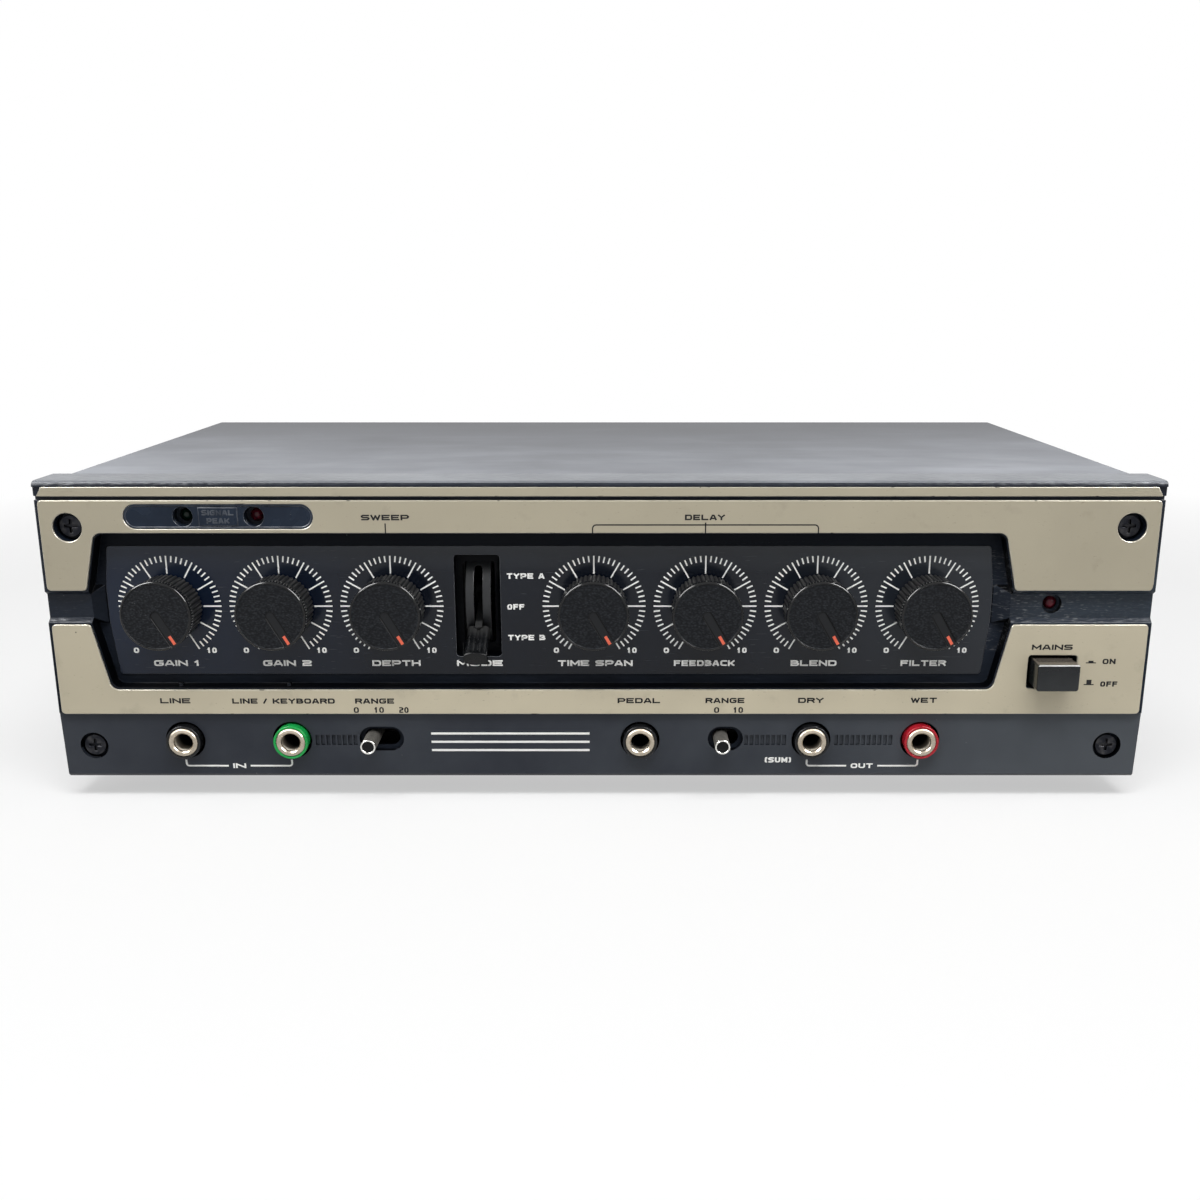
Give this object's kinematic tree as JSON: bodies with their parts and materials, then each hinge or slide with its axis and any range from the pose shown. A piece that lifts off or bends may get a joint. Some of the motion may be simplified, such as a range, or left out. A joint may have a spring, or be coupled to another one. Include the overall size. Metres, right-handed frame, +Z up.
{
  "type": "analog echo effects unit",
  "caption": "Table-top analog echo effects unit: moulded front with a recessed dial well, fluted knobs, selector lever, slide switches, plug jacks and power button on a folded steel case.",
  "frame": {"origin": "middle of the bounding box on the surface that the feet stand on", "axes": "+Z up, +X to the right seen from the front, the front faces -Y"},
  "size_m": [0.37, 0.1944, 0.112],
  "materials": {
    "bezel_plastic": "leather-grained moulding, satin",
    "trim_plate": "champagne anodised, fine satin",
    "dial_sheet": "dark grey print, satin",
    "window_plastic": "dark grey moulding, satin",
    "cover_paint": "black lacquer with dust and rub marks",
    "tray_steel": "zinc-plated sheet",
    "foot_rubber": "matt",
    "black_screw": "blackened, worn slots",
    "plated_screw": "zinc plated",
    "knob_plastic": "grained face, polished rim",
    "button_plastic": "polished black",
    "lever_plastic": "satin black",
    "bright_plate": "nickel plated",
    "slide_plate": "chrome plated",
    "collar_black": "moulded",
    "collar_green": "moulded",
    "collar_red": "moulded",
    "lens_green": "clear tinted, unlit",
    "lens_red": "clear tinted, unlit",
    "board": "resin board",
    "chip": "moulded",
    "capacitor": "shrink sleeve",
    "core_steel": "varnished laminations",
    "winding": "taped copper winding",
    "pot_case": "pressed steel",
    "black_case": "moulded"
  },
  "bodies": {
    "case": {"front_bezel": "bezel_plastic", "upper_trim_plate": "trim_plate", "lower_trim_plate": "trim_plate", "top_trim_strip": "trim_plate", "dial_plate": "dial_sheet", "level_window": "window_plastic", "selector_guide": "lever_plastic", "top_cover": "cover_paint", "chassis_tray": "tray_steel", "rubber_feet": "foot_rubber", "foot_screws": "plated_screw", "bezel_screws": "black_screw", "cover_screws": "black_screw", "level_lamp_green": "lens_green", "level_lamp_red": "lens_red", "power_lamp": "lens_red", "main_board": "board", "board_standoffs": "plated_screw", "board_screws": "plated_screw", "delay_chips": "chip", "filter_capacitors": "capacitor", "transformer_core": "core_steel", "transformer_winding": "winding", "transformer_screws": "plated_screw", "pot_cases": "pot_case", "pot_nuts": "plated_screw", "jack_ferrules": "bright_plate", "jack_collars_black": "collar_black", "jack_collar_green": "collar_green", "jack_collar_red": "collar_red", "jack_cases": "black_case", "level_switch_cases": "black_case", "selector_bracket": "black_screw", "selector_pin": "black_screw", "power_switch_case": "pot_case", "mains_gland": "foot_rubber"},
    "dial_1": {"knob_1": "knob_plastic", "pot_shaft_1": "plated_screw"},
    "dial_2": {"knob_2": "knob_plastic", "pot_shaft_2": "plated_screw"},
    "dial_3": {"knob_3": "knob_plastic", "pot_shaft_3": "plated_screw"},
    "dial_4": {"knob_4": "knob_plastic", "pot_shaft_4": "plated_screw"},
    "dial_5": {"knob_5": "knob_plastic", "pot_shaft_5": "plated_screw"},
    "dial_6": {"knob_6": "knob_plastic", "pot_shaft_6": "plated_screw"},
    "dial_7": {"knob_7": "knob_plastic", "pot_shaft_7": "plated_screw"},
    "selector": {"selector_lever": "lever_plastic"},
    "input_level": {"input_level_lever": "slide_plate"},
    "output_level": {"output_level_lever": "slide_plate"},
    "power": {"power_button": "button_plastic", "power_plunger": "lever_plastic"}
  },
  "joints": [
    {"name": "dial_1_turn", "type": "hinge", "parent": "case", "child": "dial_1", "pos_m": [-0.1454, -0.08875, 0.06865], "axis": [0, 1, 0], "range_deg": [-300, 0]},
    {"name": "dial_2_turn", "type": "hinge", "parent": "case", "child": "dial_2", "pos_m": [-0.10789, -0.08875, 0.06865], "axis": [0, 1, 0], "range_deg": [-300, 0]},
    {"name": "dial_3_turn", "type": "hinge", "parent": "case", "child": "dial_3", "pos_m": [-0.07039, -0.08875, 0.06865], "axis": [0, 1, 0], "range_deg": [-300, 0]},
    {"name": "dial_4_turn", "type": "hinge", "parent": "case", "child": "dial_4", "pos_m": [-0.00212, -0.08875, 0.06865], "axis": [0, 1, 0], "range_deg": [-300, 0]},
    {"name": "dial_5_turn", "type": "hinge", "parent": "case", "child": "dial_5", "pos_m": [0.03538, -0.08875, 0.06865], "axis": [0, 1, 0], "range_deg": [-300, 0]},
    {"name": "dial_6_turn", "type": "hinge", "parent": "case", "child": "dial_6", "pos_m": [0.07289, -0.08875, 0.06865], "axis": [0, 1, 0], "range_deg": [-300, 0]},
    {"name": "dial_7_turn", "type": "hinge", "parent": "case", "child": "dial_7", "pos_m": [0.1104, -0.08875, 0.06865], "axis": [0, 1, 0], "range_deg": [-300, 0]},
    {"name": "selector_swing", "type": "hinge", "parent": "case", "child": "selector", "pos_m": [-0.04137, -0.06225, 0.06865], "axis": [-1, 0, 0], "range_deg": [0, 50]},
    {"name": "input_level_slide", "type": "slide", "parent": "case", "child": "input_level", "axis": [1, 0, 0], "range_m": [0, 0.0064]},
    {"name": "output_level_slide", "type": "slide", "parent": "case", "child": "output_level", "axis": [1, 0, 0], "range_m": [0, 0.0032]},
    {"name": "power_press", "type": "slide", "parent": "case", "child": "power", "axis": [0, 1, 0], "range_m": [0, 0.0045], "stiffness_N_per_m": 400}
  ]
}
